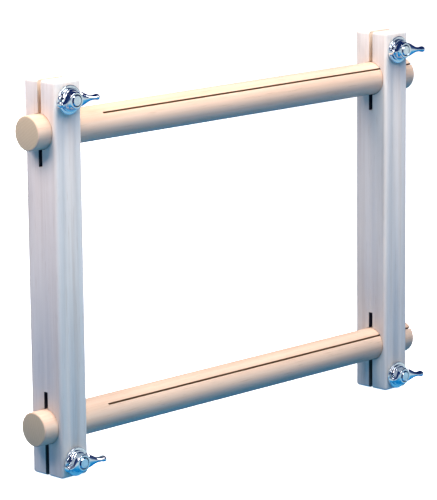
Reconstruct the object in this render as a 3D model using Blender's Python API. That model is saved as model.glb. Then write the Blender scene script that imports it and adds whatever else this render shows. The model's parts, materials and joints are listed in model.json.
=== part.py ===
"""Needlework scroll frame: two side bars, two split rails, and a carriage bolt,
washer and wing nut at each of the four clamped corners.

Metres. X runs along the rails, Y from the wing nuts to the bolt heads, Z up.
The origin is under the middle of the frame, on the surface it stands on.
"""
import math

import bmesh
import bpy
from mathutils import Matrix

# ---------------------------------------------------------------- driving sizes
RAIL_DIAMETER = 0.01905
RAIL_LENGTH = 0.300
RAIL_END_EDGE = 0.0008
RAIL_KERF = 0.0010            # saw cut that takes the edge of the fabric
RAIL_KERF_TILT = 41.0         # degrees the cut leans up from straight ahead
RAIL_KERF_START = 0.0202      # from the left bar's inner face to the blind end

BAR_WIDTH = 0.01905           # along X
BAR_DEPTH = 0.0238            # along Y
BAR_HEIGHT = 0.2159
BAR_SPACING = 0.262           # centre to centre
BAR_EDGE_RADIUS = 0.0015
RAIL_FROM_END = 0.0275        # rail centre to the bar's end
CLAMP_SLIT = 0.0028
CLAMP_SLIT_LENGTH = 0.0466
BOLT_FROM_END = {"upper": 0.0103, "lower": 0.0086}

BOLT_DIAMETER = 0.00635
BOLT_LENGTH = 0.03175         # under the head
BOLT_TIP_CHAMFER = 0.0006
NECK_LENGTH = 0.0036          # square neck under the head
HEAD_DIAMETER = 0.0143
HEAD_HEIGHT = 0.0033

WASHER_DIAMETER = 0.0159
WASHER_THICKNESS = 0.0016
WASHER_EDGE = 0.0002          # broken edge round the rim

NUT_BASE_DIAMETER = 0.0128
NUT_TOP_DIAMETER = 0.0092
NUT_HEIGHT = 0.0050
NUT_LIP = 0.0009              # thickness of the round base
NUT_SHOULDER_RISE = 0.0010    # from the base up to the foot of the cone
NUT_SHOULDER_EXTRA = 0.0006   # how far the cone's foot stands out past its top
NUT_TOP_EDGE = 0.0005
WING_REACH = 0.0138           # bolt axis to the wing's tip
WING_RISE = 0.0084            # nut's base to the top of the wing
WING_THICKNESS = 0.0030
WING_TIP_RADIUS = 0.0020
WING_EDGE = 0.0008            # rounding of the wing's edges
# the wing's side view, out from the bolt axis and up from the nut's base
WING_UNDERSIDE = [(0.0040, 0.0007), (0.0070, 0.0016), (0.0096, 0.0036)]
WING_TOP = [(0.0084, 0.0071), (0.0062, 0.0048), (0.0040, 0.0044)]
WING_TIP_START = -75.0        # degrees, where the tip's arc leaves the underside

GAP = 0.0003                  # left between pieces that touch
NECK_SUNK = 0.0005            # the neck starts this far inside the head, so that they join

# wing angle above level on each corner, in degrees
WING_TILT = {"upper_left": 3.0, "lower_left": 1.0, "upper_right": -2.0, "lower_right": -2.0}

# ---------------------------------------------------------------- worked out
RAIL_RADIUS = RAIL_DIAMETER / 2
BOLT_RADIUS = BOLT_DIAMETER / 2
BOLT_HOLE_RADIUS = BOLT_RADIUS + GAP
NUT_FROM_FACE = GAP + WASHER_THICKNESS + GAP
FRONT_REACH = BAR_DEPTH / 2 + NUT_FROM_FACE + WING_RISE
BACK_REACH = BAR_DEPTH / 2 + GAP + HEAD_HEIGHT
BAR_Y = (FRONT_REACH - BACK_REACH) / 2      # puts the origin under the box's middle
FRONT_FACE_Y = BAR_Y - BAR_DEPTH / 2
BACK_FACE_Y = BAR_Y + BAR_DEPTH / 2

SIDES = {"left": -BAR_SPACING / 2, "right": BAR_SPACING / 2}
RAIL_HEIGHTS = {"upper": BAR_HEIGHT - RAIL_FROM_END, "lower": RAIL_FROM_END}
BOLT_HEIGHTS = {"upper": BAR_HEIGHT - BOLT_FROM_END["upper"], "lower": BOLT_FROM_END["lower"]}

RAIL_SIDES = 72
BOLT_SIDES = 32
DOME_STEPS = 7
WASHER_SIDES = 48
NUT_SIDES = 40
WING_TIP_STEPS = 8
ALONG_X = Matrix.Rotation(math.radians(90), 4, "Y")
TOWARDS_FRONT = Matrix.Rotation(math.radians(90), 4, "X")     # turns +Z to -Y
TOWARDS_BACK = Matrix.Rotation(math.radians(-90), 4, "X")     # turns +Z to +Y


# ---------------------------------------------------------------- materials
def make_material(name, colour, roughness, metallic):
    material = bpy.data.materials.new(name)
    material.use_nodes = True
    principled = material.node_tree.nodes["Principled BSDF"]
    principled.inputs["Base Color"].default_value = (*colour, 1.0)
    principled.inputs["Roughness"].default_value = roughness
    principled.inputs["Metallic"].default_value = metallic
    return material


def bar_wood(name):
    return make_material(name, (0.74, 0.71, 0.66), 0.55, 0.0)


def rail_wood(name):
    return make_material(name, (0.80, 0.68, 0.52), 0.50, 0.0)


def zinc(name):
    return make_material(name, (0.72, 0.78, 0.84), 0.25, 1.0)


# ---------------------------------------------------------------- modelling helpers
def clear_scene():
    for old in list(bpy.data.objects):
        bpy.data.objects.remove(old, do_unlink=True)


def add_object(name, bm, location, material=None):
    bmesh.ops.recalc_face_normals(bm, faces=bm.faces)
    mesh = bpy.data.meshes.new(name)
    bm.to_mesh(mesh)
    bm.free()
    item = bpy.data.objects.new(name, mesh)
    item.location = location
    bpy.context.scene.collection.objects.link(item)
    if material:
        mesh.materials.append(material)
    return item


def block(size, centre=(0.0, 0.0, 0.0), turn=Matrix.Identity(4)):
    bm = bmesh.new()
    shape = Matrix.Diagonal((size[0], size[1], size[2], 1.0))
    bmesh.ops.create_cube(bm, size=1.0, matrix=turn @ Matrix.Translation(centre) @ shape)
    return bm


def rod(radius, length, sides, turn):
    """A cylinder centred on its own middle, with its axis turned from Z by turn."""
    bm = bmesh.new()
    bmesh.ops.create_cone(
        bm, cap_ends=True, segments=sides, radius1=radius, radius2=radius, depth=length, matrix=turn
    )
    return bm


def turned(profile, sides, turn, closed_ring):
    """Spins (radius, height) points about Z. A closed ring leaves a hole through it."""
    bm = bmesh.new()
    verts = [bm.verts.new((radius, 0.0, height)) for radius, height in profile]
    edges = [bm.edges.new(pair) for pair in zip(verts, verts[1:])]
    if closed_ring:
        edges.append(bm.edges.new((verts[-1], verts[0])))
    bmesh.ops.spin(
        bm, geom=verts + edges, cent=(0, 0, 0), axis=(0, 0, 1), angle=math.tau, steps=sides
    )
    bmesh.ops.remove_doubles(bm, verts=bm.verts, dist=0.000001)
    bmesh.ops.transform(bm, matrix=turn, verts=bm.verts)
    return bm


def add_bevel(item, width, segments, angle=30.0):
    bevel = item.modifiers.new("rounded_edges", "BEVEL")
    bevel.width = width
    bevel.segments = segments
    bevel.limit_method = "ANGLE"
    bevel.angle_limit = math.radians(angle)


def combine(item, other, operation):
    boolean = item.modifiers.new(other.name, "BOOLEAN")
    boolean.operation = operation
    boolean.object = other
    boolean.solver = "EXACT"
    other.hide_render = True
    other.display_type = "WIRE"


def smooth(item, angle=35.0):
    item.data.shade_smooth()
    item.data.set_sharp_from_angle(angle=math.radians(angle))


# ---------------------------------------------------------------- side bars
def side_bar(side, x):
    """A square-section bar, bored for both rails and slit at each end into two jaws."""
    name = side + "_side_bar"
    middle = (x, BAR_Y, BAR_HEIGHT / 2)
    size = (BAR_WIDTH, BAR_DEPTH, BAR_HEIGHT)
    bar = add_object(name, block(size), middle, bar_wood(name))
    add_bevel(bar, BAR_EDGE_RADIUS, 3)
    past = 2 * BAR_WIDTH
    for level, rail_z in RAIL_HEIGHTS.items():
        label = name + "_" + level
        bore = rod(RAIL_RADIUS + GAP, past, RAIL_SIDES, ALONG_X)
        combine(bar, add_object(label + "_rail_bore", bore, (x, BAR_Y, rail_z)), "DIFFERENCE")

        slit = block((past, CLAMP_SLIT, 2 * CLAMP_SLIT_LENGTH))
        end_z = BAR_HEIGHT if level == "upper" else 0.0
        combine(bar, add_object(label + "_clamp_slit", slit, (x, BAR_Y, end_z)), "DIFFERENCE")

        bolt_z = BOLT_HEIGHTS[level]
        hole = rod(BOLT_HOLE_RADIUS, 2 * BAR_DEPTH, BOLT_SIDES, TOWARDS_FRONT)
        combine(bar, add_object(label + "_bolt_hole", hole, (x, BAR_Y, bolt_z)), "DIFFERENCE")

        pocket_depth = NECK_LENGTH + GAP
        pocket_side = BOLT_DIAMETER + 2 * GAP
        pocket = block((pocket_side, 2 * pocket_depth, pocket_side))
        combine(bar, add_object(label + "_neck_pocket", pocket, (x, BACK_FACE_Y, bolt_z)), "DIFFERENCE")
    return bar


# ---------------------------------------------------------------- rails
def split_rail(level, z):
    """A dowel sawn through along its middle, open at the right end."""
    name = level + "_rail"
    dowel = rod(RAIL_RADIUS, RAIL_LENGTH, RAIL_SIDES, ALONG_X)
    rail = add_object(name, dowel, (0, BAR_Y, z), rail_wood(name))
    add_bevel(rail, RAIL_END_EDGE, 2, 60.0)
    blind_end = SIDES["left"] + BAR_WIDTH / 2 + RAIL_KERF_START
    cut_length = RAIL_LENGTH - blind_end
    tilt = Matrix.Rotation(math.radians(-RAIL_KERF_TILT), 4, "X")
    cut = block((cut_length, 2 * RAIL_DIAMETER, RAIL_KERF), (blind_end + cut_length / 2, 0, 0), tilt)
    combine(rail, add_object(name + "_kerf", cut, (0, BAR_Y, z)), "DIFFERENCE")
    smooth(rail)
    return rail


# ---------------------------------------------------------------- clamp hardware
def carriage_bolt(corner, x, z):
    """Domed head at the back, square neck in the wood, shank out through the front."""
    name = corner + "_carriage_bolt"
    rim = HEAD_DIAMETER / 2
    dome_radius = (rim ** 2 + HEAD_HEIGHT ** 2) / (2 * HEAD_HEIGHT)
    dome_angle = math.asin(rim / dome_radius)
    profile = [(0.0, -BOLT_LENGTH), (BOLT_RADIUS - BOLT_TIP_CHAMFER, -BOLT_LENGTH)]
    profile += [(BOLT_RADIUS, -BOLT_LENGTH + BOLT_TIP_CHAMFER), (BOLT_RADIUS, 0.0), (rim, 0.0)]
    for step in range(1, DOME_STEPS):
        angle = dome_angle * (1 - step / DOME_STEPS)
        height = dome_radius * math.cos(angle) - (dome_radius - HEAD_HEIGHT)
        profile.append((dome_radius * math.sin(angle), height))
    profile.append((0.0, HEAD_HEIGHT))
    seat = (x, BACK_FACE_Y + GAP, z)
    bolt = add_object(name, turned(profile, BOLT_SIDES, TOWARDS_BACK, False), seat, zinc(name))
    neck_centre = (0, -(NECK_LENGTH - NECK_SUNK) / 2, 0)
    neck = block((BOLT_DIAMETER, NECK_LENGTH + NECK_SUNK, BOLT_DIAMETER), neck_centre)
    combine(bolt, add_object(name + "_square_neck", neck, seat), "UNION")
    smooth(bolt)
    return bolt


def washer(corner, x, z):
    name = corner + "_washer"
    inner = BOLT_RADIUS + GAP
    outer = WASHER_DIAMETER / 2
    flat = outer - WASHER_EDGE
    profile = [(inner, 0.0), (flat, 0.0), (outer, WASHER_EDGE)]
    profile += [(outer, WASHER_THICKNESS - WASHER_EDGE), (flat, WASHER_THICKNESS)]
    profile.append((inner, WASHER_THICKNESS))
    place = (x, FRONT_FACE_Y - GAP, z)
    item = add_object(name, turned(profile, WASHER_SIDES, TOWARDS_FRONT, True), place, zinc(name))
    smooth(item)
    return item


def wing_outline():
    """The wing's side view as (out from the bolt axis, up from the nut's base)."""
    tip_x = WING_REACH - WING_TIP_RADIUS
    tip_z = WING_RISE - WING_TIP_RADIUS
    outline = list(WING_UNDERSIDE)
    for step in range(WING_TIP_STEPS + 1):
        angle = math.radians(WING_TIP_START + 180 * step / WING_TIP_STEPS)
        out = tip_x + WING_TIP_RADIUS * math.cos(angle)
        up = tip_z + WING_TIP_RADIUS * math.sin(angle)
        outline.append((out, up))
    outline += WING_TOP
    return outline


def one_wing(sign):
    bm = bmesh.new()
    half = WING_THICKNESS / 2
    verts = [bm.verts.new((sign * out, -half, up)) for out, up in wing_outline()]
    face = bm.faces.new(verts)
    grown = bmesh.ops.extrude_face_region(bm, geom=[face])["geom"]
    moved = [part for part in grown if isinstance(part, bmesh.types.BMVert)]
    bmesh.ops.translate(bm, verts=moved, vec=(0, WING_THICKNESS, 0))
    return bm


def wing_nut(corner, x, z):
    """A conical hub on a round base, with a wing out to each side."""
    name = corner + "_wing_nut"
    inner = BOLT_RADIUS + GAP
    base = NUT_BASE_DIAMETER / 2
    top = NUT_TOP_DIAMETER / 2
    profile = [(inner, 0.0), (base, 0.0), (base, NUT_LIP)]
    profile.append((top + NUT_SHOULDER_EXTRA, NUT_LIP + NUT_SHOULDER_RISE))
    profile += [(top, NUT_HEIGHT - NUT_TOP_EDGE), (top - NUT_TOP_EDGE, NUT_HEIGHT)]
    profile.append((inner, NUT_HEIGHT))
    place = (x, FRONT_FACE_Y - NUT_FROM_FACE, z)
    nut = add_object(name, turned(profile, NUT_SIDES, TOWARDS_FRONT, True), place, zinc(name))
    turn = Matrix.Rotation(math.radians(-WING_TILT[corner]), 4, "Y") @ TOWARDS_FRONT
    for sign, label in ((1, "_right_wing"), (-1, "_left_wing")):
        bm = one_wing(sign)
        bmesh.ops.transform(bm, matrix=turn, verts=bm.verts)
        wing = add_object(name + label, bm, place)
        add_bevel(wing, WING_EDGE, 2, 50.0)
        combine(nut, wing, "UNION")
    smooth(nut)
    return nut


# ---------------------------------------------------------------- the frame
def build():
    clear_scene()
    for side, x in SIDES.items():
        side_bar(side, x)
        for level, z in BOLT_HEIGHTS.items():
            corner = level + "_" + side
            carriage_bolt(corner, x, z)
            washer(corner, x, z)
            wing_nut(corner, x, z)
    for level, z in RAIL_HEIGHTS.items():
        split_rail(level, z)
    bpy.context.view_layer.update()


build()
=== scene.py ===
import json
import math

import bmesh
import bpy
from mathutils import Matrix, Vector


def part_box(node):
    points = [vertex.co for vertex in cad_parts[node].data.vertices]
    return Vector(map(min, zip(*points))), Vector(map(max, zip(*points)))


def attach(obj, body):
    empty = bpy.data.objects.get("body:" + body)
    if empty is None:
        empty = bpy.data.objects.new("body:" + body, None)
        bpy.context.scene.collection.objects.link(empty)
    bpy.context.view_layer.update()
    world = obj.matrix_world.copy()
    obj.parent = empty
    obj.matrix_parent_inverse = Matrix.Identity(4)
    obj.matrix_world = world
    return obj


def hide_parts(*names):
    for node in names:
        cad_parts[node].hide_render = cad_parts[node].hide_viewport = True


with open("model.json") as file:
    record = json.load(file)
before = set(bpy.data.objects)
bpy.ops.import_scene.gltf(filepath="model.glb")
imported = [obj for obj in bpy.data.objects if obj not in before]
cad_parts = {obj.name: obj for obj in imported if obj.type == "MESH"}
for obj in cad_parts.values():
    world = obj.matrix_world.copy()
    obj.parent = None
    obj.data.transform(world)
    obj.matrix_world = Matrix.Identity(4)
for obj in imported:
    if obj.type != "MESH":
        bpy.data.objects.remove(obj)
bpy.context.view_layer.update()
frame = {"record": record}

sides = ("left", "right")
levels = ("upper", "lower")
mergeDistance = 0.000002        # points closer than this are one point
cutDistance = 0.0000001         # how near a cutting plane a point counts as on it
touchDistance = 0.00001         # what counts as lying on a plane
facingShare = 0.9               # what counts as facing along an axis


# small helpers
def say(words):
    print("scroll frame:", words)


def middleOf(node):
    low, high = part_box(node)
    return (low + high) / 2


def sizeOf(node):
    low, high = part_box(node)
    return high - low


def deselectAll():
    if bpy.context.object and bpy.context.object.mode != "OBJECT":
        bpy.ops.object.mode_set(mode="OBJECT")
    bpy.ops.object.select_all(action="DESELECT")


def makeActive(piece):
    deselectAll()
    piece.select_set(True)
    bpy.context.view_layer.objects.active = piece


def bakePlace(piece):
    # puts the object's place, turn and scale into its mesh
    makeActive(piece)
    bpy.ops.object.transform_apply(location=True, rotation=True, scale=True)


def addCube(name, size, place):
    deselectAll()
    bpy.ops.mesh.primitive_cube_add(size=1.0, location=place)
    piece = bpy.context.object
    piece.name = name
    piece.scale = size
    bakePlace(piece)
    return piece


def addRod(name, radius, length, place, alongAxis, rodSides):
    quarter = math.radians(90)
    turn = {"X": (0, quarter, 0), "Y": (quarter, 0, 0), "Z": (0, 0, 0)}[alongAxis]
    deselectAll()
    bpy.ops.mesh.primitive_cylinder_add(
        vertices=rodSides, radius=radius, depth=length, location=place, rotation=turn
    )
    piece = bpy.context.object
    piece.name = name
    bakePlace(piece)
    return piece


def applyModifier(piece, kind, **settings):
    makeActive(piece)
    modifier = piece.modifiers.new(kind.lower(), kind)
    for key, value in settings.items():
        setattr(modifier, key, value)
    bpy.ops.object.modifier_apply(modifier=modifier.name)


def combineWith(piece, other, operation):
    applyModifier(piece, "BOOLEAN", operation=operation, object=other, solver="EXACT")
    bpy.data.objects.remove(other, do_unlink=True)


def cutWith(piece, cutter):
    combineWith(piece, cutter, "DIFFERENCE")


def joinWith(piece, other):
    combineWith(piece, other, "UNION")


def keepInside(piece, keeper):
    combineWith(piece, keeper, "INTERSECT")


def softenEdges(piece, width, segments, angle):
    applyModifier(
        piece, "BEVEL", width=width, segments=segments, limit_method="ANGLE",
        angle_limit=math.radians(angle), use_clamp_overlap=True, harden_normals=False
    )


def smoothShade(piece, angle):
    makeActive(piece)
    bpy.ops.object.shade_smooth_by_angle(angle=math.radians(angle))


def tidyNormals(piece):
    makeActive(piece)
    bpy.ops.object.mode_set(mode="EDIT")
    bpy.ops.mesh.select_all(action="SELECT")
    bpy.ops.mesh.remove_doubles(threshold=mergeDistance)
    bpy.ops.mesh.normals_make_consistent(inside=False)
    bpy.ops.object.mode_set(mode="OBJECT")


def selectEdges(piece, wanted):
    # leaves edit mode on, with only the wanted edges selected
    makeActive(piece)
    bpy.ops.object.mode_set(mode="EDIT")
    bpy.ops.mesh.select_mode(type="EDGE")
    bpy.ops.mesh.select_all(action="DESELECT")
    bm = bmesh.from_edit_mesh(piece.data)
    for edge in bm.edges:
        if wanted(edge.verts[0].co, edge.verts[1].co):
            edge.select_set(True)
    bm.select_flush_mode()
    bmesh.update_edit_mesh(piece.data)


def selectFaces(piece, wanted):
    # the same for faces, chosen by their centre and their normal
    makeActive(piece)
    bpy.ops.object.mode_set(mode="EDIT")
    bpy.ops.mesh.select_mode(type="FACE")
    bpy.ops.mesh.select_all(action="DESELECT")
    bm = bmesh.from_edit_mesh(piece.data)
    for face in bm.faces:
        if wanted(face.calc_center_median(), face.normal):
            face.select_set(True)
    bmesh.update_edit_mesh(piece.data)


def finishPiece(piece, node, material):
    piece.data.materials.clear()
    piece.data.materials.append(material)
    for polygon in piece.data.polygons:
        polygon.material_index = 0
    bodies = frame["record"]["behaviour"]["bodies"]
    body = next(name for name, nodes in bodies.items() if node in nodes)
    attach(piece, body)
    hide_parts(node)


# materials
def newMaterial(name):
    material = bpy.data.materials.new(name)
    material.use_nodes = True
    return material, material.node_tree, material.node_tree.nodes["Principled BSDF"]


def addNode(tree, kind, **inputs):
    node = tree.nodes.new(kind)
    for key, value in inputs.items():
        node.inputs[key].default_value = value
    return node


def opaque(colour):
    return (*colour, 1.0)


def feed(tree, value, socket):
    # a socket takes a fixed value or what another node gives
    if isinstance(value, bpy.types.NodeSocket):
        tree.links.new(value, socket)
    else:
        socket.default_value = value


def placedCoordinates(tree, move, stretch):
    # Object coordinates, stretched so that the pattern runs along one axis
    coordinates = tree.nodes.new("ShaderNodeTexCoord")
    mapping = addNode(tree, "ShaderNodeMapping", Location=move, Scale=stretch)
    tree.links.new(coordinates.outputs["Object"], mapping.inputs["Vector"])
    return mapping.outputs["Vector"]


def noise(tree, vector, scale, detail, roughness, distortion=0.0):
    node = addNode(
        tree, "ShaderNodeTexNoise",
        Scale=scale, Detail=detail, Roughness=roughness, Distortion=distortion
    )
    tree.links.new(vector, node.inputs["Vector"])
    return node.outputs["Fac"]


def ramp(tree, value, stops):
    node = tree.nodes.new("ShaderNodeValToRGB")
    elements = node.color_ramp.elements
    while len(elements) < len(stops):
        elements.new(0.5)
    for element, (position, colour) in zip(elements, stops):
        element.position = position
        element.color = opaque(colour)
    tree.links.new(value, node.inputs["Fac"])
    return node.outputs["Color"]


# where a mix node keeps its amount, its two colours and the colour it gives
mixAmount, mixFirst, mixSecond, mixResult = 0, 6, 7, 2


def mixColours(tree, amount, first, second, blend="MIX"):
    node = tree.nodes.new("ShaderNodeMix")
    node.data_type = "RGBA"
    node.blend_type = blend
    feed(tree, amount, node.inputs[mixAmount])
    feed(tree, first, node.inputs[mixFirst])
    feed(tree, second, node.inputs[mixSecond])
    return node.outputs[mixResult]


def mathNode(tree, operation, first, second):
    node = tree.nodes.new("ShaderNodeMath")
    node.operation = operation
    feed(tree, first, node.inputs[0])
    feed(tree, second, node.inputs[1])
    return node.outputs[0]


def weighted(tree, first, firstShare, second, secondShare, operation="ADD"):
    firstPart = mathNode(tree, "MULTIPLY", first, firstShare)
    return mathNode(tree, operation, firstPart, mathNode(tree, "MULTIPLY", second, secondShare))


def remap(tree, value, low, high, newLow, newHigh):
    node = addNode(
        tree, "ShaderNodeMapRange",
        **{"From Min": low, "From Max": high, "To Min": newLow, "To Max": newHigh}
    )
    tree.links.new(value, node.inputs["Value"])
    return node.outputs["Result"]


def partAlong(tree, axis, source, output):
    # one of the three parts of a point's place or of its normal
    split = tree.nodes.new("ShaderNodeSeparateXYZ")
    tree.links.new(tree.nodes.new(source).outputs[output], split.inputs["Vector"])
    return split.outputs[axis]


def distanceFrom(tree, value, middle):
    return mathNode(tree, "ABSOLUTE", mathNode(tree, "SUBTRACT", value, middle), 0.0)


def facingAlong(tree, axis):
    # one where the surface faces along the axis, either way, and nought where it lies beside it
    part = partAlong(tree, axis, "ShaderNodeNewGeometry", "Normal")
    return mathNode(tree, "ABSOLUTE", part, 0.0)


def dotProduct(tree, direction, output="Object"):
    # how far along a direction a point lies
    coordinates = tree.nodes.new("ShaderNodeTexCoord")
    node = tree.nodes.new("ShaderNodeVectorMath")
    node.operation = "DOT_PRODUCT"
    node.inputs[1].default_value = direction
    tree.links.new(coordinates.outputs[output], node.inputs[0])
    return node.outputs["Value"]


def addBump(tree, principled, height, strength, distance):
    bump = addNode(tree, "ShaderNodeBump", Strength=strength, Distance=distance)
    tree.links.new(height, bump.inputs["Height"])
    tree.links.new(bump.outputs["Normal"], principled.inputs["Normal"])


barLook = {
    # colours, the roughness of the palest and the darkest grain, and how many grain lines in a metre
    "palest": (0.90, 0.855, 0.81),
    "middle": (0.825, 0.77, 0.715),
    "darkest": (0.70, 0.625, 0.56),
    "streak": (0.58, 0.47, 0.38),
    "grainAcross": 260.0,
    "grainAlong": 6.0,
    "roughness": (0.50, 0.68),
    "endPale": (0.85, 0.80, 0.71),
    "endDark": (0.79, 0.73, 0.64),
    "endGrain": 0.80,               # how much of the end grain's colour shows
    "sawn": (0.80, 0.64, 0.50),     # the walls of the cuts
    # near black for the slits' walls: saw burn with painted shade at their closed ends, and painted
    # shade along the lower slits
    "scorchedAndShaded": (0.020, 0.020, 0.035),
    "patternStart": (0.13, 0.0, 0.05),
    "patternStep": (0.37, 0.21, 0.0),
}

railLook = {
    "palest": (0.87, 0.66, 0.51),
    "middle": (0.82, 0.58, 0.43),
    "darkest": (0.70, 0.47, 0.32),
    "streak": (0.46, 0.28, 0.16),
    "grainAcross": 300.0,
    "grainAlong": 5.0,
    "roughness": (0.34, 0.50),
    "endPale": (0.61, 0.50, 0.34),
    "endDark": (0.575, 0.465, 0.31),
    "endGrain": 0.92,
    # painted shade: the kerf's walls are dark brown, for the shade inside the narrow cut
    "sawn": (0.30, 0.17, 0.08),
    "patternStart": (0.0, 0.17, 0.11),
    "patternStep": (0.4, 0.29, 0.0),
}

figureValues = {
    # what both woods share: each noise's detail, roughness and distortion
    "grain": (6.0, 0.62, 0.35),
    "bands": (3.0, 0.5, 0.6),
    "pores": (2.0, 0.5, 0.0),
    "blotches": (3.0, 0.55, 0.0),
    # how many there are in a metre, along and across the grain
    "bandScales": (2.2, 60.0),
    "poreScales": (70.0, 1500.0),
    "blotchScale": 22.0,
    # where each begins, where it is full, and how strong it gets
    "toneStops": (0.30, 0.47, 0.64),
    "streakRange": (0.60, 0.72, 0.45),
    "poreRange": (0.62, 0.74, 0.35),
    "blotchRange": (0.3, 0.7),
    "blotchShade": (0.93, 0.93, 0.94),
    "endGrainRange": (0.80, 0.97),
    "glossRange": (0.3, 0.7),
    "grainShare": 0.6,
    "specular": 0.35,
    "grainHeight": 0.8,
    "poreDepth": 1.2,
    "bumpStrength": 0.22,
    "bumpDistance": 0.0002,
}

ringValues = {
    "scale": 210.0,
    "distortion": 5.0,
    "detail": 4.0,
    "detailScale": 1.2,
    "detailRoughness": 0.6,
    "pith": (0.03, 0.045, 0.02),    # where the heart of the tree was
}


def patternPlace(look, index):
    # each piece is cut from its own place in the pattern
    return [start + step * index for start, step in zip(look["patternStart"], look["patternStep"])]


def alongGrain(axis, along, across):
    return {"X": (along, across, across), "Z": (across, across, along)}[axis]


def figure(tree, offset, stretch, name, scale=1.0):
    vector = placedCoordinates(tree, offset, stretch)
    return noise(tree, vector, scale, *figureValues[name])


def woodMaterial(name, look, axis, offset, cutWallsAndKerfShadeMask, scorchAndShadeMask=None):
    # figured wood, with other colours on its end grain and on the walls of its cuts
    material, tree, principled = newMaterial(name)
    values = figureValues
    grain = figure(tree, offset, alongGrain(axis, look["grainAlong"], look["grainAcross"]), "grain")
    bands = figure(tree, offset, alongGrain(axis, *values["bandScales"]), "bands")
    pores = figure(tree, offset, alongGrain(axis, *values["poreScales"]), "pores")
    blotches = figure(tree, offset, (1.0, 1.0, 1.0), "blotches", values["blotchScale"])

    tone = weighted(tree, grain, values["grainShare"], bands, 1.0 - values["grainShare"])
    tones = (look["darkest"], look["middle"], look["palest"])
    colour = ramp(tree, tone, list(zip(values["toneStops"], tones)))
    begins, full, strength = values["streakRange"]
    streaks = remap(tree, bands, begins, full, 0.0, strength)
    colour = mixColours(tree, streaks, colour, opaque(look["streak"]))
    begins, full, strength = values["poreRange"]
    poreMask = remap(tree, pores, begins, full, 0.0, strength)
    colour = mixColours(tree, poreMask, colour, opaque(look["streak"]))
    shades = (values["blotchShade"], (1.0, 1.0, 1.0))
    blotchShade = ramp(tree, blotches, list(zip(values["blotchRange"], shades)))
    colour = mixColours(tree, 1.0, colour, blotchShade, "MULTIPLY")

    # where the surface faces along the grain it is end grain
    begins, full = values["endGrainRange"]
    endGrain = remap(tree, facingAlong(tree, axis), begins, full, 0.0, look["endGrain"])
    rings = ringPattern(tree, axis, offset)
    endColour = mixColours(tree, rings, opaque(look["endPale"]), opaque(look["endDark"]))
    colour = mixColours(tree, endGrain, colour, endColour)
    # the walls of the cuts take their own colour: the bars' is sawn wood, the rail kerf's is painted
    # shade
    sawn = opaque(look["sawn"])
    # near black on the slits' walls: saw burn and painted shade
    if scorchAndShadeMask:
        sawn = mixColours(tree, scorchAndShadeMask(tree), sawn, opaque(look["scorchedAndShaded"]))
    colour = mixColours(tree, cutWallsAndKerfShadeMask(tree), colour, sawn)
    tree.links.new(colour, principled.inputs["Base Color"])

    low, high = look["roughness"]
    begins, full = values["glossRange"]
    rough = remap(tree, tone, begins, full, high, low)
    tree.links.new(rough, principled.inputs["Roughness"])
    principled.inputs["Specular IOR Level"].default_value = values["specular"]
    height = weighted(tree, grain, values["grainHeight"], poreMask, values["poreDepth"], "SUBTRACT")
    addBump(tree, principled, height, values["bumpStrength"], values["bumpDistance"])
    return material


def ringPattern(tree, axis, offset):
    # growth rings, seen where the wood is cut across
    place = [part + pith for part, pith in zip(offset, ringValues["pith"])]
    space = placedCoordinates(tree, place, alongGrain(axis, 0.0, 1.0))
    node = addNode(tree, "ShaderNodeTexWave", **{
        "Scale": ringValues["scale"],
        "Distortion": ringValues["distortion"],
        "Detail": ringValues["detail"],
        "Detail Scale": ringValues["detailScale"],
        "Detail Roughness": ringValues["detailRoughness"],
    })
    node.wave_type = "RINGS"
    node.rings_direction = axis
    tree.links.new(space, node.inputs["Vector"])
    return node.outputs["Fac"]


zincLook = {
    "bright": (0.84, 0.92, 0.96),
    "dull": (0.66, 0.77, 0.86),
    "spot": (0.42, 0.50, 0.60),
    "roughness": (0.09, 0.20),
    # each noise's scale, detail, roughness and distortion
    "cloud": (320.0, 4.0, 0.6, 0.4),
    "speck": (1800.0, 3.0, 0.6),
    "scratch": (1.0, 2.0, 0.5),
    "scratchStretch": (3000.0, 500.0, 260.0),    # how many in a metre, along each axis
    # where each begins, where it is full, and how strong it gets
    "cloudStops": (0.32, 0.62),
    "spotRange": (0.62, 0.72, 0.3),
    "glossRange": (0.3, 0.7),
    "speckHeight": 0.5,
    "scratchHeight": 0.4,
    "bumpStrength": 0.05,
    "bumpDistance": 0.00005,
    "patternStart": (0.0, 0.0, 0.0),
    "patternStep": (0.011, 0.007, 0.003),
}


def zincMaterial(name, offset):
    # bright zinc plate: cloudy passivation, fine scratches and small dull spots
    material, tree, principled = newMaterial(name)
    even = placedCoordinates(tree, offset, (1.0, 1.0, 1.0))
    cloud = noise(tree, even, *zincLook["cloud"])
    speck = noise(tree, even, *zincLook["speck"])
    scratchSpace = placedCoordinates(tree, offset, zincLook["scratchStretch"])
    scratches = noise(tree, scratchSpace, *zincLook["scratch"])
    tones = (zincLook["dull"], zincLook["bright"])
    colour = ramp(tree, cloud, list(zip(zincLook["cloudStops"], tones)))
    begins, full, strength = zincLook["spotRange"]
    spots = remap(tree, speck, begins, full, 0.0, strength)
    colour = mixColours(tree, spots, colour, opaque(zincLook["spot"]))
    tree.links.new(colour, principled.inputs["Base Color"])
    principled.inputs["Metallic"].default_value = 1.0
    low, high = zincLook["roughness"]
    begins, full = zincLook["glossRange"]
    rough = remap(tree, cloud, begins, full, high, low)
    tree.links.new(rough, principled.inputs["Roughness"])
    height = weighted(tree, speck, zincLook["speckHeight"], scratches, zincLook["scratchHeight"])
    addBump(tree, principled, height, zincLook["bumpStrength"], zincLook["bumpDistance"])
    return material


# every cut in the wood has a small broken edge
sawnValues = {
    "segments": 2,
    "sharpAngle": 50.0,
    "smoothAngle": 32.0,
}


def finishSawn(piece, edge):
    softenEdges(piece, edge, sawnValues["segments"], sawnValues["sharpAngle"])
    tidyNormals(piece)
    smoothShade(piece, sawnValues["smoothAngle"])


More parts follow.
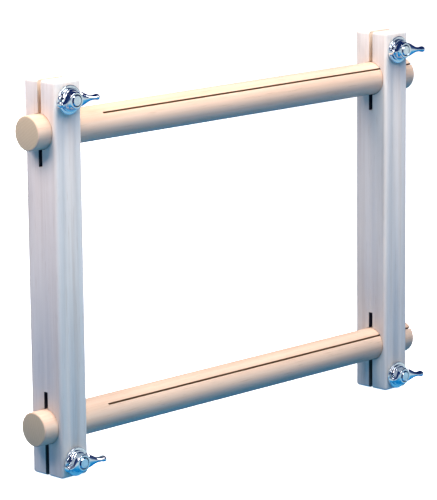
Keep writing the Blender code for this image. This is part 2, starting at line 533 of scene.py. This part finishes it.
# side bars
barValues = {
    "edgeRadius": 0.0016,
    "edgeSegments": 4,
    "boreSides": 128,
    "boreGap": 0.0003,
    "slitWidth": 0.0028,
    "slitLength": 0.0466,
    "holeRadius": 0.003475,
    "holeSides": 48,
    "pocketSide": 0.00695,
    "pocketDepth": 0.0039,
    "sawnEdge": 0.00022,
    "wallFade": 0.0001,            # how far past the slit's walls its colour ends
    "wallFacing": (0.5, 0.9),
    # where the slits' walls darken: saw burn with painted shade at the closed end, and painted shade
    # along the lower slits, under the rail
    "burntAndShaded": (0.010, 0.016),       # from the slit's closed end, full and none
    "paintedShade": (0.03, 0.06),       # from the bar's foot, full and none
    "lowerPaintedShade": 0.85,            # how dark the walls of the lower slits are all along
}


def cutBarEnd(bar, side, level, low, high):
    place = (low + high) / 2
    past = (high.x - low.x) * 2
    rail = middleOf(level + "_rail")
    boreRadius = sizeOf(level + "_rail").z / 2 + barValues["boreGap"]
    bore = (place.x, rail.y, rail.z)
    cutWith(bar, addRod("bore", boreRadius, past, bore, "X", barValues["boreSides"]))
    endZ = high.z if level == "upper" else low.z
    slitSize = (past, barValues["slitWidth"], 2 * barValues["slitLength"])
    cutWith(bar, addCube("slit", slitSize, (place.x, place.y, endZ)))
    bolt = middleOf(level + "_" + side + "_carriage_bolt")
    hole = (place.x, place.y, bolt.z)
    through = 2 * (high.y - low.y)
    cutWith(bar, addRod("hole", barValues["holeRadius"], through, hole, "Y", barValues["holeSides"]))
    pocket = (barValues["pocketSide"], 2 * barValues["pocketDepth"], barValues["pocketSide"])
    cutWith(bar, addCube("pocket", pocket, (place.x, high.y, bolt.z)))


def buildSideBar(side, offset):
    node = side + "_side_bar"
    low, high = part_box(node)
    place = (low + high) / 2
    bar = addCube(side + "BarWood", high - low, place)
    makeActive(bar)
    bpy.ops.object.mode_set(mode="EDIT")
    bpy.ops.mesh.select_all(action="SELECT")
    bpy.ops.mesh.bevel(
        offset=barValues["edgeRadius"], segments=barValues["edgeSegments"], affect="EDGES"
    )
    bpy.ops.object.mode_set(mode="OBJECT")
    for level in levels:
        cutBarEnd(bar, side, level, low, high)
    finishSawn(bar, barValues["sawnEdge"])

    def inSlit(tree):
        # only the walls of the slit lie this near the bar's middle plane and face across it
        reach = barValues["slitWidth"] / 2 + barValues["sawnEdge"]
        across = partAlong(tree, "Y", "ShaderNodeTexCoord", "Object")
        away = distanceFrom(tree, across, place.y)
        near = remap(tree, away, reach, reach + barValues["wallFade"], 1.0, 0.0)
        begins, full = barValues["wallFacing"]
        facing = remap(tree, facingAlong(tree, "Y"), begins, full, 0.0, 1.0)
        return mathNode(tree, "MULTIPLY", near, facing)

    def scorchAndShadeInSlit(tree):
        # the saw dwells at the closed end of the slit and burns it dark, and painted shade darkens that
        # deep end too; the lower slits get painted shade all along
        height = partAlong(tree, "Z", "ShaderNodeTexCoord", "Object")
        away = distanceFrom(tree, height, place.z)
        whole = (high.z - low.z) / 2 - barValues["slitLength"]
        full, none = barValues["burntAndShaded"]
        burntAndShaded = remap(tree, away, whole + full, whole + none, 1.0, 0.0)
        full, none = barValues["paintedShade"]
        paintedShade = remap(tree, height, low.z + full, low.z + none, barValues["lowerPaintedShade"], 0.0)
        return mathNode(tree, "MAXIMUM", burntAndShaded, paintedShade)

    wood = woodMaterial(side + "BarMaple", barLook, "Z", offset, inSlit, scorchAndShadeInSlit)
    finishPiece(bar, node, wood)


# rails
railValues = {
    "sides": 144,
    "endEdge": 0.0009,
    "endSegments": 4,
    "kerf": 0.0010,
    "kerfTilt": 41.0,
    "kerfStart": 0.0202,           # from the left bar's inner side
    "overrun": 0.01,               # how far the saw runs out past the right end
    "sawnEdge": 0.00015,
    "kerfFade": (0.54, 0.62),      # shares of the kerf where its colour is full and none
    "startFade": (0.0002, 0.0001),     # before the blind end, where it is none and full
}


def buildRail(level, offset):
    node = level + "_rail"
    low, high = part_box(node)
    place = (low + high) / 2
    radius = (high.z - low.z) / 2
    length = high.x - low.x
    rail = addRod(level + "RailDowel", radius, length, place, "X", railValues["sides"])

    def onEnd(first, second):
        return any(
            abs(first.x - x) < touchDistance and abs(second.x - x) < touchDistance
            for x in (low.x, high.x)
        )

    selectEdges(rail, onEnd)
    bpy.ops.mesh.bevel(
        offset=railValues["endEdge"], segments=railValues["endSegments"], affect="EDGES"
    )
    bpy.ops.object.mode_set(mode="OBJECT")
    tilt = math.radians(-railValues["kerfTilt"])
    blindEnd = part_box("left_side_bar")[1].x + railValues["kerfStart"]
    cutLength = high.x - blindEnd + railValues["overrun"]
    kerf = addCube("kerf", (cutLength, 4 * radius, railValues["kerf"]), (0, 0, 0))
    kerf.rotation_euler = (tilt, 0, 0)
    kerf.location = (blindEnd + cutLength / 2, place.y, place.z)
    bakePlace(kerf)
    cutWith(rail, kerf)
    finishSawn(rail, railValues["sawnEdge"])

    def kerfShadeMask(tree):
        # the kerf is a thin slab, tilted about the rail, from its blind end on; its walls take the
        # painted shade
        turned = (0, -math.sin(tilt), math.cos(tilt))
        away = distanceFrom(tree, dotProduct(tree, turned), Vector(turned).dot(place))
        full, none = (railValues["kerf"] * share for share in railValues["kerfFade"])
        between = remap(tree, away, full, none, 1.0, 0.0)
        begins, ends = (blindEnd - fade for fade in railValues["startFade"])
        past = remap(tree, dotProduct(tree, (1, 0, 0)), begins, ends, 0.0, 1.0)
        return mathNode(tree, "MULTIPLY", between, past)

    wood = woodMaterial(level + "RailBirch", railLook, "X", offset, kerfShadeMask)
    finishPiece(rail, node, wood)


# clamp hardware
boltValues = {
    "headHeight": 0.0033,
    "headSegments": 64,
    "headRings": 72,
    "neckLength": 0.0036,
    "shankRadius": 0.003175,
    "shankRelief": 0.0002,      # how much thinner the plain shank is than the thread
    "shankSides": 48,
    "overlap": 0.0006,          # how far the neck and shank run up into the head
    "threadStart": 0.0085,      # plain shank below the head
    "threadSides": 48,
    "threadDepth": 0.00062,
    "pitch": 0.00127,
    "flank": 0.40,              # shares of one pitch
    "crest": 0.12,
    "root": 0.08,
    "turnsBelow": 2,            # spare turns, cut off at both ends
    "turnsAbove": 1,
    "seamDistance": 0.000003,
    "tipChamfer": 0.0006,
    "keeperLength": 0.06,
    "keeperMargin": 0.0005,
    "keeperSides": 64,
    "smoothAngle": 30.0,
}


def threadedRod(name, radius, length, place):
    # one turn of a zigzag profile, screwed up by one pitch, is a true helical thread
    pitch, depth = boltValues["pitch"], boltValues["threadDepth"]
    flank, crest, root = (pitch * boltValues[part] for part in ("flank", "crest", "root"))
    turnsBelow = boltValues["turnsBelow"]
    teeth = int(length / pitch) + turnsBelow + boltValues["turnsAbove"]
    deselectAll()
    # a plane merged to a single point starts the profile
    bpy.ops.mesh.primitive_plane_add(size=0.001, location=(0, 0, 0))
    rod = bpy.context.object
    rod.name = name
    bpy.ops.object.mode_set(mode="EDIT")
    bpy.ops.mesh.select_mode(type="VERT")
    bpy.ops.mesh.select_all(action="SELECT")
    bpy.ops.mesh.merge(type="CENTER")
    bpy.ops.transform.translate(value=(radius - depth, 0, -length - turnsBelow * pitch))
    tooth = ((depth, flank), (0, crest), (-depth, flank), (0, root))
    for outward, rise in tooth * teeth:
        bpy.ops.mesh.extrude_vertices_move(TRANSFORM_OT_translate={"value": (outward, 0, rise)})
    bpy.ops.object.mode_set(mode="OBJECT")
    bakePlace(rod)
    applyModifier(
        rod, "SCREW", axis="Z", angle=math.tau, screw_offset=pitch, iterations=1,
        steps=boltValues["threadSides"], render_steps=boltValues["threadSides"],
        use_merge_vertices=True, merge_threshold=mergeDistance
    )
    makeActive(rod)
    bpy.ops.object.mode_set(mode="EDIT")
    bpy.ops.mesh.select_all(action="SELECT")
    bpy.ops.mesh.remove_doubles(threshold=boltValues["seamDistance"])
    for height, outer in ((0.0, True), (-length, False)):
        bpy.ops.mesh.select_all(action="SELECT")
        bpy.ops.mesh.bisect(
            plane_co=(0, 0, height), plane_no=(0, 0, 1), use_fill=True,
            clear_outer=outer, clear_inner=not outer, threshold=cutDistance
        )
    bpy.ops.object.mode_set(mode="OBJECT")
    rod.rotation_euler = (math.radians(-90), 0, 0)
    rod.location = place
    bakePlace(rod)
    tidyNormals(rod)
    return rod


def domedHead(name, radius, top):
    # the cap of a sphere whose rim is as wide as the head
    height = boltValues["headHeight"]
    sphereRadius = (radius ** 2 + height ** 2) / (2 * height)
    deselectAll()
    bpy.ops.mesh.primitive_uv_sphere_add(
        segments=boltValues["headSegments"], ring_count=boltValues["headRings"], radius=sphereRadius,
        location=(top.x, top.y - sphereRadius, top.z), rotation=(math.radians(-90), 0, 0)
    )
    head = bpy.context.object
    head.name = name
    bakePlace(head)
    bpy.ops.object.mode_set(mode="EDIT")
    bpy.ops.mesh.select_all(action="SELECT")
    bpy.ops.mesh.bisect(
        plane_co=(0, top.y - height, 0), plane_no=(0, 1, 0),
        use_fill=True, clear_inner=True, threshold=cutDistance
    )
    bpy.ops.object.mode_set(mode="OBJECT")
    return head


def tipKeeper(radius, tip):
    # everything inside this shape stays: a rod whose end narrows by the chamfer
    length, margin = boltValues["keeperLength"], boltValues["keeperMargin"]
    middle = (tip.x, tip.y + length / 2, tip.z)
    keeper = addRod("keeper", radius + margin, length, middle, "Y", boltValues["keeperSides"])

    def isTip(centre, normal):
        return normal.y < -facingShare

    selectFaces(keeper, isTip)
    bpy.ops.mesh.bevel(offset=boltValues["tipChamfer"] + margin, segments=1, affect="EDGES")
    bpy.ops.object.mode_set(mode="OBJECT")
    return keeper


def buildBolt(corner, offset):
    node = corner + "_carriage_bolt"
    low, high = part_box(node)
    middle = (low + high) / 2
    seat = high.y - boltValues["headHeight"]
    overlap = boltValues["overlap"]
    radius = boltValues["shankRadius"]
    top = Vector((middle.x, high.y, middle.z))
    bolt = domedHead(corner + "CarriageBolt", (high.x - low.x) / 2, top)

    neck = boltValues["neckLength"]
    neckPlace = (middle.x, seat - neck / 2 + overlap / 2, middle.z)
    joinWith(bolt, addCube("neck", (2 * radius, neck + overlap, 2 * radius), neckPlace))
    plain = boltValues["threadStart"]
    plainPlace = (middle.x, seat - plain / 2 + overlap / 2, middle.z)
    plainRadius = radius - boltValues["shankRelief"]
    shankSides = boltValues["shankSides"]
    joinWith(bolt, addRod("shank", plainRadius, plain + overlap, plainPlace, "Y", shankSides))

    # the thread begins where the plain shank ends, and is trimmed to a chamfered tip
    threadTop = seat - plain
    thread = threadedRod("thread", radius, threadTop - low.y, (middle.x, threadTop, middle.z))
    keepInside(thread, tipKeeper(radius, Vector((middle.x, low.y, middle.z))))
    joinWith(bolt, thread)
    tidyNormals(bolt)
    smoothShade(bolt, boltValues["smoothAngle"])
    finishPiece(bolt, node, zincMaterial(corner + "BoltZinc", offset))


washerValues = {
    "sides": 96,
    "holeRadius": 0.003475,
    "cutterLength": 0.01,
    "rimShare": 0.98,           # an edge this far out is on the rim
    "rimSlack": 0.00002,
    "roundedEdge": 0.00035,
    "roundedSegments": 4,
    "sharpEdge": 0.00010,
    "sharpSegments": 2,
    "sharpAngle": 60.0,
    "smoothAngle": 40.0,
}


def buildWasher(corner, offset):
    node = corner + "_washer"
    low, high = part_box(node)
    middle = (low + high) / 2
    radius = (high.x - low.x) / 2
    roundSides = washerValues["sides"]
    washer = addRod(corner + "FlatWasher", radius, high.y - low.y, middle, "Y", roundSides)
    cutterLength = washerValues["cutterLength"]
    hole = addRod("hole", washerValues["holeRadius"], cutterLength, middle, "Y", roundSides)
    cutWith(washer, hole)

    def onFrontRim(first, second):
        rim = radius * washerValues["rimShare"]
        outside = all(math.hypot(p.x - middle.x, p.z - middle.z) > rim for p in (first, second))
        return outside and max(first.y, second.y) < low.y + washerValues["rimSlack"]

    # a stamped washer is rolled over on the die side and sharper on the other
    selectEdges(washer, onFrontRim)
    bpy.ops.mesh.bevel(
        offset=washerValues["roundedEdge"], segments=washerValues["roundedSegments"], affect="EDGES"
    )
    bpy.ops.object.mode_set(mode="OBJECT")
    softenEdges(
        washer, washerValues["sharpEdge"], washerValues["sharpSegments"], washerValues["sharpAngle"]
    )
    tidyNormals(washer)
    smoothShade(washer, washerValues["smoothAngle"])
    finishPiece(washer, node, zincMaterial(corner + "WasherZinc", offset))


nutValues = {
    "sides": 64,
    "baseRadius": 0.0064,
    "baseLip": 0.0010,
    "shoulderRadius": 0.0053,
    "topRadius": 0.0046,
    "height": 0.0050,
    "boreRadius": 0.003475,
    "cutterLength": 0.03,
    "wingThickness": 0.0036,
    "wingRoot": 0.0008,         # the block that the wing is drawn out of
    "wingLevels": 3,
    "endFacing": 0.5,           # how squarely a wing's end faces outwards
    "endSlack": 0.0001,
    "castVoxel": 0.00024,
    "castSmoothing": 5,
    "castSmoothFactor": 0.5,
    "smoothAngle": 40.0,
    "tilts": {"upper_left": 3.0, "lower_left": 1.0, "upper_right": -2.0, "lower_right": -2.0},
    # the wing's side view: out from the bolt, up from the base, height of the section
    "wingStations": [
        (0.0042, 0.0028, 0.0052),
        (0.0060, 0.0033, 0.0054),
        (0.0080, 0.0044, 0.0050),
        (0.0100, 0.0056, 0.0048),
        (0.0122, 0.0060, 0.0052),
        (0.0137, 0.0061, 0.0050),
    ],
    # how wide each station is, in wing thicknesses
    "wingWidths": [2.5, 1.9, 0.95, 0.70, 0.95, 1.25],
}


def nutHub():
    # built with its base at the origin and its axis up, then turned to face the front
    values = nutValues
    lip = values["baseLip"]
    hub = addRod("hub", values["baseRadius"], lip, (0, 0, lip / 2), "Z", values["sides"])

    def isTop(centre, normal):
        return normal.z > facingShare

    selectFaces(hub, isTop)
    rise = values["height"] - lip
    bpy.ops.mesh.inset(thickness=values["baseRadius"] - values["shoulderRadius"])
    bpy.ops.mesh.extrude_region_move(TRANSFORM_OT_translate={"value": (0, 0, rise)})
    shrink = values["topRadius"] / values["shoulderRadius"]
    bpy.ops.transform.resize(value=(shrink, shrink, 1), center_override=(0, 0, values["height"]))
    bpy.ops.object.mode_set(mode="OBJECT")
    return hub


def nutWing(direction):
    # a block drawn out station by station, then rounded with a subdivision surface
    stations = nutValues["wingStations"]
    widths = nutValues["wingWidths"]
    thickness = nutValues["wingThickness"]
    out, up, tall = stations[0]
    root = (nutValues["wingRoot"], thickness * widths[0], tall)
    wing = addCube("wing", root, (out, 0, up))
    lastOut, lastUp, lastTall, lastWidth = out, up, tall, widths[0]
    for (out, up, tall), width in zip(stations[1:], widths[1:]):
        def isEnd(centre, normal, reach=lastOut):
            outermost = centre.x > reach - nutValues["endSlack"]
            return outermost and normal.x > nutValues["endFacing"]

        selectFaces(wing, isEnd)
        move = (out - lastOut, 0, up - lastUp)
        bpy.ops.mesh.extrude_region_move(TRANSFORM_OT_translate={"value": move})
        growth = (1, width / lastWidth, tall / lastTall)
        bpy.ops.transform.resize(value=growth, center_override=(out, 0, up))
        bpy.ops.object.mode_set(mode="OBJECT")
        lastOut, lastUp, lastTall, lastWidth = out, up, tall, width
    rounding = nutValues["wingLevels"]
    applyModifier(wing, "SUBSURF", levels=rounding, render_levels=rounding)
    if direction < 0:
        wing.scale = (-1, 1, 1)
        bakePlace(wing)
    tidyNormals(wing)
    return wing


def castNut():
    # hub and wings run together as a casting does, and the bore is drilled afterwards
    values = nutValues
    nut = nutHub()
    for direction in (1, -1):
        joinWith(nut, nutWing(direction))
    applyModifier(nut, "REMESH", mode="VOXEL", voxel_size=values["castVoxel"], adaptivity=0.0)
    applyModifier(nut, "SMOOTH", factor=values["castSmoothFactor"], iterations=values["castSmoothing"])
    bore = addRod("bore", values["boreRadius"], values["cutterLength"], (0, 0, 0), "Z", values["sides"])
    cutWith(nut, bore)
    return nut


def placeNut(pattern, corner, offset):
    node = corner + "_wing_nut"
    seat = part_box(node)[1].y
    bolt = middleOf(corner + "_carriage_bolt")
    nut = pattern.copy()
    nut.data = pattern.data.copy()
    nut.name = corner + "WingNut"
    bpy.context.scene.collection.objects.link(nut)
    nut.rotation_euler = (math.radians(90), math.radians(-nutValues["tilts"][corner]), 0)
    nut.location = (bolt.x, seat, bolt.z)
    bakePlace(nut)
    smoothShade(nut, nutValues["smoothAngle"])
    finishPiece(nut, node, zincMaterial(corner + "NutZinc", offset))


# stage
cameraValues = {
    "place": (-1.15245, -1.13306, 0.43200),
    "turn": (78.5215, 0.5945, -45.329),
    "lens": 209.582,
    "sensor": 36.0,
    "nearest": 0.05,
    "farthest": 20.0,
}


def addCamera():
    camera = bpy.data.objects.new("camera", bpy.data.cameras.new("camera"))
    bpy.context.scene.collection.objects.link(camera)
    camera.location = cameraValues["place"]
    camera.rotation_euler = [math.radians(angle) for angle in cameraValues["turn"]]
    camera.data.lens = cameraValues["lens"]
    camera.data.sensor_width = cameraValues["sensor"]
    camera.data.clip_start = cameraValues["nearest"]
    camera.data.clip_end = cameraValues["farthest"]
    bpy.context.scene.camera = camera


lightValues = {
    # name: (place, size, power in watts, colour, seen in reflections)
    "topKey": ((-0.10, -0.30, 1.25), 0.7, 17.5, (1.0, 0.97, 0.91), False),
    "frontFill": ((-0.05, -0.44, 0.62), 0.3, 2.0, (1.0, 0.89, 0.88), True),
    "leftFill": ((-0.46, 0.05, 0.54), 0.3, 2.5, (1.0, 0.84, 0.79), True),
    "lowBlue": ((-0.28, -0.42, 0.02), 0.25, 0.36, (0.03, 0.66, 1.0), False),
    "backRim": ((0.50, 1.00, 0.35), 0.7, 4.5, (0.95, 0.96, 1.0), False),
}


lampAim = (0, 0, 0.11)


def addLights():
    for name, (place, size, power, colour, reflected) in lightValues.items():
        lamp = bpy.data.lights.new(name, "AREA")
        lamp.shape = "DISK"
        lamp.size = size
        lamp.energy = power
        lamp.color = colour
        holder = bpy.data.objects.new(name, lamp)
        bpy.context.scene.collection.objects.link(holder)
        holder.visible_glossy = reflected
        holder.visible_camera = False
        holder.location = place
        towards = Vector(lampAim) - Vector(place)
        holder.rotation_euler = towards.to_track_quat("-Z", "Y").to_euler()


floorValues = {
    "size": 40.0,
    "drop": 0.0005,
    "colour": (0.93, 0.93, 0.93),
    "roughness": 0.9,
    "glow": 1.1,
}


def addFloor():
    deselectAll()
    bpy.ops.mesh.primitive_plane_add(size=floorValues["size"], location=(0, 0, -floorValues["drop"]))
    floor = bpy.context.object
    floor.name = "studioFloor"
    material, _, principled = newMaterial("paleFloor")
    principled.inputs["Base Color"].default_value = opaque(floorValues["colour"])
    principled.inputs["Roughness"].default_value = floorValues["roughness"]
    principled.inputs["Emission Color"].default_value = (1.0, 1.0, 1.0, 1.0)
    principled.inputs["Emission Strength"].default_value = floorValues["glow"]
    floor.data.materials.append(material)
    # the floor throws no light on the frame, so the blue of the world comes up from below
    floor.visible_diffuse = False
    floor.visible_glossy = False


skyColours = [
    # place from straight down to straight up, and the colour there
    (0.00, (0.01, 0.24, 0.62)),
    (0.20, (0.01, 0.32, 0.78)),
    (0.34, (0.14, 0.56, 0.90)),
    (0.42, (0.84, 0.93, 0.97)),
    (0.49, (0.84, 0.88, 0.90)),
    (0.55, (0.08, 0.15, 0.32)),
    (0.74, (0.01, 0.03, 0.15)),
    (1.00, (0.01, 0.03, 0.12)),
]

skyStrength = 0.8

clothValues = {
    # dark blue cloths behind the frame and behind the camera, for the plated hardware to reflect
    "colour": (0.002, 0.018, 0.12),
    "places": [
        # direction, and the cosines of the angles where the cloth begins and is full
        ((0.70, 0.70, 0.14), 0.66, 0.84),
        ((-0.69, -0.71, -0.14), 0.80, 0.92),
    ],
}


def addWorld():
    # a dark ceiling, a pale band round the horizon and blue from below
    world = bpy.data.worlds.new("studio")
    bpy.context.scene.world = world
    world.use_nodes = True
    tree = world.node_tree
    background = tree.nodes["Background"]
    upward = partAlong(tree, "Z", "ShaderNodeTexCoord", "Generated")
    sky = ramp(tree, remap(tree, upward, -1.0, 1.0, 0.0, 1.0), skyColours)
    for towards, begins, full in clothValues["places"]:
        cloth = dotProduct(tree, towards, "Generated")
        cloth = remap(tree, cloth, begins, full, 0.0, 1.0)
        sky = mixColours(tree, cloth, sky, opaque(clothValues["colour"]))
    tree.links.new(sky, background.inputs["Color"])
    background.inputs["Strength"].default_value = skyStrength


# the making
addCamera()
addLights()
addFloor()
addWorld()
bpy.context.scene.view_settings.view_transform = "Standard"
say("camera, lights and floor are set")

for index, side in enumerate(sides):
    buildSideBar(side, patternPlace(barLook, index))
say("side bars are bored and slit")

for index, level in enumerate(levels):
    buildRail(level, patternPlace(railLook, index))
say("rails are sawn")

nutPattern = castNut()
corners = [level + "_" + side for side in sides for level in levels]
for index, corner in enumerate(corners):
    offset = patternPlace(zincLook, index)
    buildBolt(corner, offset)
    buildWasher(corner, offset)
    placeNut(nutPattern, corner, offset)
    say(corner + " clamp is made")
bpy.data.objects.remove(nutPattern, do_unlink=True)
